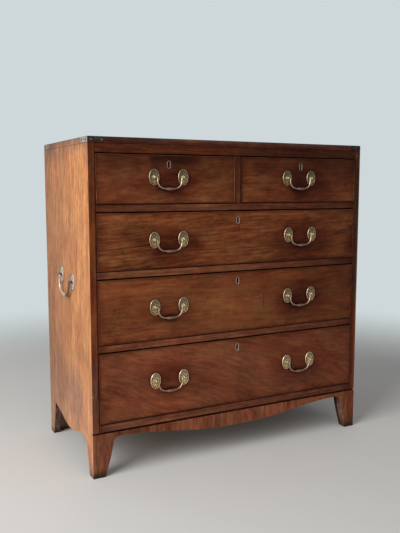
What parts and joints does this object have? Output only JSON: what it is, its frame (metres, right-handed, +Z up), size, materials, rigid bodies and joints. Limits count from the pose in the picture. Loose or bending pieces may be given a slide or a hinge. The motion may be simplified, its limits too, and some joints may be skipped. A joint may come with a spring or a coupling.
{
  "type": "chest of drawers",
  "caption": "Mahogany campaign chest on bracket feet: short drawers over long graduated drawers, brass bail handles, corner straps and lifting handles at the sides.",
  "frame": {"origin": "on the floor, under the middle of the bounding box", "axes": "+Z up, +X to the right of someone facing the drawers, +Y towards the back; drawers open along -Y"},
  "size_m": [1.033, 0.4842, 1.02],
  "materials": {
    "mahogany_side": "sun-faded mahogany, waxed, upright grain",
    "mahogany_front": "figured mahogany, polished and waxed",
    "mahogany_top": "dark mahogany, waxed",
    "mahogany_rail": "straight-grained mahogany, waxed",
    "oak_lining": "dry unfinished oak",
    "pine_back": "rough unfinished pine, darkened",
    "aged_brass": "aged brass, worn bright on its high spots"
  },
  "bodies": {
    "carcass": {"left_side": "mahogany_side", "right_side": "mahogany_side", "top_board": "mahogany_top", "back_panel": "pine_back", "top_rail": "mahogany_rail", "centre_divider": "mahogany_rail", "upper_blade": "mahogany_rail", "middle_blade": "mahogany_rail", "lower_blade": "mahogany_rail", "bottom_board": "mahogany_rail", "apron": "mahogany_rail", "strap_front_left": "aged_brass", "strap_front_right": "aged_brass", "strap_back_left": "aged_brass", "strap_back_right": "aged_brass", "left_lift_rose_front": "aged_brass", "left_lift_rose_back": "aged_brass", "right_lift_rose_front": "aged_brass", "right_lift_rose_back": "aged_brass"},
    "top_left_drawer": {"top_left_drawer_front": "mahogany_front", "top_left_drawer_box": "oak_lining", "top_left_drawer_bottom": "oak_lining", "top_left_drawer_rose_left": "aged_brass", "top_left_drawer_rose_right": "aged_brass"},
    "top_right_drawer": {"top_right_drawer_front": "mahogany_front", "top_right_drawer_box": "oak_lining", "top_right_drawer_bottom": "oak_lining", "top_right_drawer_rose_left": "aged_brass", "top_right_drawer_rose_right": "aged_brass"},
    "upper_drawer": {"upper_drawer_front": "mahogany_front", "upper_drawer_box": "oak_lining", "upper_drawer_bottom": "oak_lining", "upper_drawer_left_rose_left": "aged_brass", "upper_drawer_left_rose_right": "aged_brass", "upper_drawer_right_rose_left": "aged_brass", "upper_drawer_right_rose_right": "aged_brass"},
    "middle_drawer": {"middle_drawer_front": "mahogany_front", "middle_drawer_box": "oak_lining", "middle_drawer_bottom": "oak_lining", "middle_drawer_left_rose_left": "aged_brass", "middle_drawer_left_rose_right": "aged_brass", "middle_drawer_right_rose_left": "aged_brass", "middle_drawer_right_rose_right": "aged_brass"},
    "lower_drawer": {"lower_drawer_front": "mahogany_front", "lower_drawer_box": "oak_lining", "lower_drawer_bottom": "oak_lining", "lower_drawer_left_rose_left": "aged_brass", "lower_drawer_left_rose_right": "aged_brass", "lower_drawer_right_rose_left": "aged_brass", "lower_drawer_right_rose_right": "aged_brass"},
    "top_left_handle": {"top_left_drawer_bail": "aged_brass"},
    "top_right_handle": {"top_right_drawer_bail": "aged_brass"},
    "upper_left_handle": {"upper_drawer_left_bail": "aged_brass"},
    "upper_right_handle": {"upper_drawer_right_bail": "aged_brass"},
    "middle_left_handle": {"middle_drawer_left_bail": "aged_brass"},
    "middle_right_handle": {"middle_drawer_right_bail": "aged_brass"},
    "lower_left_handle": {"lower_drawer_left_bail": "aged_brass"},
    "lower_right_handle": {"lower_drawer_right_bail": "aged_brass"},
    "left_lift_handle": {"left_lift_bail": "aged_brass"},
    "right_lift_handle": {"right_lift_bail": "aged_brass"}
  },
  "joints": [
    {"name": "top_left_drawer_slide", "type": "slide", "parent": "carcass", "child": "top_left_drawer", "axis": [0, -1, 0], "range_m": [0, 0.36]},
    {"name": "top_right_drawer_slide", "type": "slide", "parent": "carcass", "child": "top_right_drawer", "axis": [0, -1, 0], "range_m": [0, 0.36]},
    {"name": "upper_drawer_slide", "type": "slide", "parent": "carcass", "child": "upper_drawer", "axis": [0, -1, 0], "range_m": [0, 0.36]},
    {"name": "middle_drawer_slide", "type": "slide", "parent": "carcass", "child": "middle_drawer", "axis": [0, -1, 0], "range_m": [0, 0.36]},
    {"name": "lower_drawer_slide", "type": "slide", "parent": "carcass", "child": "lower_drawer", "axis": [0, -1, 0], "range_m": [0, 0.36]},
    {"name": "top_left_handle_swing", "type": "hinge", "parent": "top_left_drawer", "child": "top_left_handle", "pos_m": [-0.2455, -0.2369, 0.9048], "axis": [-1, 0, 0], "range_deg": [-4, 170]},
    {"name": "top_right_handle_swing", "type": "hinge", "parent": "top_right_drawer", "child": "top_right_handle", "pos_m": [0.2375, -0.2369, 0.9048], "axis": [-1, 0, 0], "range_deg": [-4, 170]},
    {"name": "upper_left_handle_swing", "type": "hinge", "parent": "upper_drawer", "child": "upper_left_handle", "pos_m": [-0.2455, -0.2369, 0.7157], "axis": [-1, 0, 0], "range_deg": [-4, 170]},
    {"name": "upper_right_handle_swing", "type": "hinge", "parent": "upper_drawer", "child": "upper_right_handle", "pos_m": [0.2455, -0.2369, 0.7157], "axis": [-1, 0, 0], "range_deg": [-4, 170]},
    {"name": "middle_left_handle_swing", "type": "hinge", "parent": "middle_drawer", "child": "middle_left_handle", "pos_m": [-0.2455, -0.2369, 0.5089], "axis": [-1, 0, 0], "range_deg": [-4, 170]},
    {"name": "middle_right_handle_swing", "type": "hinge", "parent": "middle_drawer", "child": "middle_right_handle", "pos_m": [0.2455, -0.2369, 0.5089], "axis": [-1, 0, 0], "range_deg": [-4, 170]},
    {"name": "lower_left_handle_swing", "type": "hinge", "parent": "lower_drawer", "child": "lower_left_handle", "pos_m": [-0.2455, -0.2369, 0.2776], "axis": [-1, 0, 0], "range_deg": [-4, 170]},
    {"name": "lower_right_handle_swing", "type": "hinge", "parent": "lower_drawer", "child": "lower_right_handle", "pos_m": [0.2455, -0.2369, 0.2776], "axis": [-1, 0, 0], "range_deg": [-4, 170]},
    {"name": "left_lift_handle_swing", "type": "hinge", "parent": "carcass", "child": "left_lift_handle", "pos_m": [-0.5105, 0.0001, 0.586], "axis": [0, 0.9945, 0.1045], "range_deg": [-4, 170]},
    {"name": "right_lift_handle_swing", "type": "hinge", "parent": "carcass", "child": "right_lift_handle", "pos_m": [0.5105, 0.0001, 0.586], "axis": [0, -1, 0], "range_deg": [-4, 170]}
  ]
}
